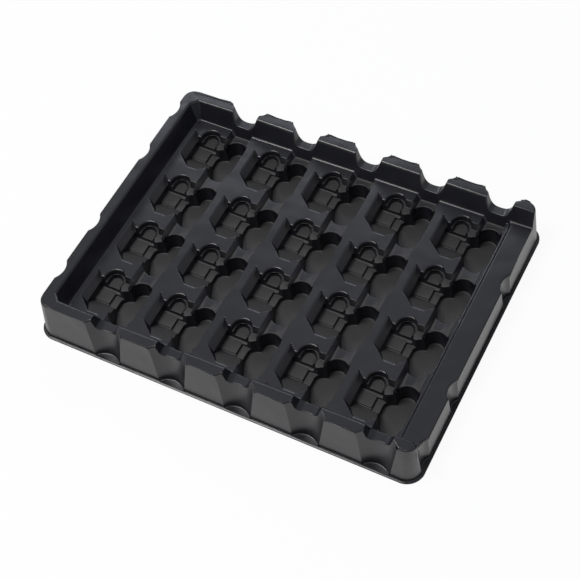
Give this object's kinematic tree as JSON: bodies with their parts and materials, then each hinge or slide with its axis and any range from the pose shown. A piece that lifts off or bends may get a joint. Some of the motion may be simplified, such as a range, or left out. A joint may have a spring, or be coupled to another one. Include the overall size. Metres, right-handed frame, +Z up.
{
  "type": "thermoformed plastic tray",
  "caption": "Vacuum-formed black plastic tray with a drafted skirt, raised notched rim on three sides and rows of stepped pockets, each with a seat, a ramp and a deep lobed well",
  "frame": {"origin": "middle of the bounding box at the level the tray stands on", "axes": "+X along the row of five columns, +Y towards the back rim, +Z up"},
  "size_m": [0.344, 0.267, 0.0408],
  "materials": {
    "sheet": "semi-gloss black polystyrene sheet"
  },
  "bodies": {
    "root": {"tray": "sheet"}
  },
  "joints": []
}
